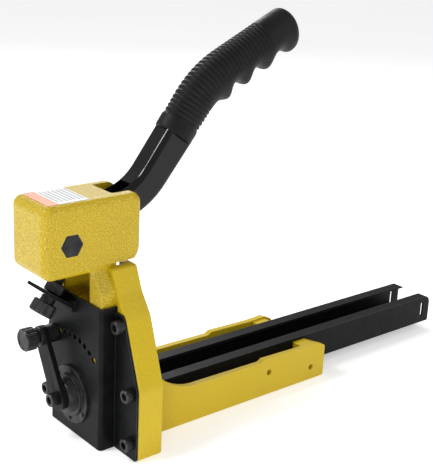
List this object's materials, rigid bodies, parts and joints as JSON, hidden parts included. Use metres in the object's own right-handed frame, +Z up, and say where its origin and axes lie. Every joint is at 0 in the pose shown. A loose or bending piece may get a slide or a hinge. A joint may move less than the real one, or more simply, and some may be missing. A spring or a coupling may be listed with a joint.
{
  "type": "carton closing stapler",
  "caption": "Hand-lever carton closing stapler: yellow cast column with side arms, hammered head, black front cover with depth lever, open staple magazine and curved ribbed grip.",
  "frame": {"origin": "middle of the column front face at the level of the base that rests on the carton", "axes": "+X across the tool, to the left of an operator who stands at the open end of the magazine and faces the nose; +Y from the nose along the magazine to its open end; +Z up"},
  "size_m": [0.122, 0.415, 0.302],
  "materials": {
    "hammer_yellow": "hammered golden yellow powder coat",
    "frame_yellow": "fine golden yellow powder coat",
    "label_print": "blank printed film label",
    "black_coat": "satin black powder coat",
    "gloss_black": "high gloss black enamel",
    "black_oxide": "black oxide",
    "bare_steel": "ground steel",
    "grip_rubber": "matte moulded rubber"
  },
  "bodies": {
    "frame": {"frame_casting": "frame_yellow", "right_arm": "frame_yellow", "left_arm": "frame_yellow", "head_casting": "hammer_yellow", "head_label": "label_print", "head_screws": "black_oxide", "pivot_bolt": "black_oxide", "pivot_nut": "black_oxide", "pivot_spacer": "bare_steel", "torsion_spring": "bare_steel", "nose_plate": "bare_steel", "nose_screws": "black_oxide", "clincher_pins": "bare_steel", "magazine_channel": "black_coat", "front_cover": "black_coat", "cover_screws": "black_oxide", "bearing_flange": "black_oxide", "flange_screws": "black_oxide", "adjuster_bracket": "black_coat"},
    "handle": {"handle_lever": "gloss_black", "handle_grip": "grip_rubber"},
    "driver": {"driver_link": "bare_steel", "link_pin": "bare_steel", "driver_carrier": "bare_steel", "driver_blade": "bare_steel", "carrier_screws": "black_oxide"},
    "right_clincher": {"clincher_right": "bare_steel"},
    "left_clincher": {"clincher_left": "bare_steel"},
    "feed": {"pusher": "black_coat", "pusher_coil": "bare_steel"},
    "adjuster": {"adjuster_shaft": "bare_steel", "adjuster_lever": "black_coat", "lever_screw": "black_oxide", "plunger_barrel": "black_oxide"},
    "plunger": {"plunger_pin": "bare_steel", "plunger_knob": "black_oxide"},
    "stop_screw": {"thumbscrew": "black_oxide"},
    "stop_nut": {"lock_nut": "black_oxide"}
  },
  "joints": [
    {"name": "handle_swing", "type": "hinge", "parent": "frame", "child": "handle", "pos_m": [0, -0.029, 0.155], "axis": [-1, 0, 0], "range_deg": [0, 42], "stiffness_Nm_per_rad": 6, "springref_deg": -40.11},
    {"name": "driver_slide", "type": "slide", "parent": "frame", "child": "driver", "axis": [0, 0, -1], "range_m": [0, 0.0312]},
    {"name": "right_clincher_swing", "type": "hinge", "parent": "frame", "child": "right_clincher", "pos_m": [0.011, -0.0047, 0.017], "axis": [0, 1, 0], "range_deg": [0, 61]},
    {"name": "left_clincher_swing", "type": "hinge", "parent": "frame", "child": "left_clincher", "pos_m": [-0.011, -0.0047, 0.017], "axis": [0, -1, 0], "range_deg": [0, 61]},
    {"name": "feed_slide", "type": "slide", "parent": "frame", "child": "feed", "axis": [0, 1, 0], "range_m": [0, 0.31], "stiffness_N_per_m": 12, "springref_m": -0.35},
    {"name": "depth_lever_turn", "type": "hinge", "parent": "frame", "child": "adjuster", "pos_m": [-0.003, -0.0255, 0.031], "axis": [0, 1, 0], "range_deg": [0, 65.6]},
    {"name": "plunger_pull", "type": "slide", "parent": "adjuster", "child": "plunger", "axis": [0, -1, 0], "range_m": [0, 0.0055], "stiffness_N_per_m": 900, "springref_m": -0.008},
    {"name": "stop_screw_turn", "type": "hinge", "parent": "frame", "child": "stop_screw", "pos_m": [-0.0143, -0.031, 0.0985], "axis": [0, 0.5878, 0.809], "continuous": true},
    {"name": "stop_nut_turn", "type": "hinge", "parent": "frame", "child": "stop_nut", "pos_m": [-0.0143, -0.031, 0.0985], "axis": [0, 0.5878, 0.809], "continuous": true}
  ],
  "couplings": [
    {"joint": "driver_slide", "follows": "handle_swing", "m_per_rad": 0.04202},
    {"joint": "right_clincher_swing", "follows": "handle_swing", "ratio": 1.4286},
    {"joint": "left_clincher_swing", "follows": "handle_swing", "ratio": 1.4286}
  ]
}
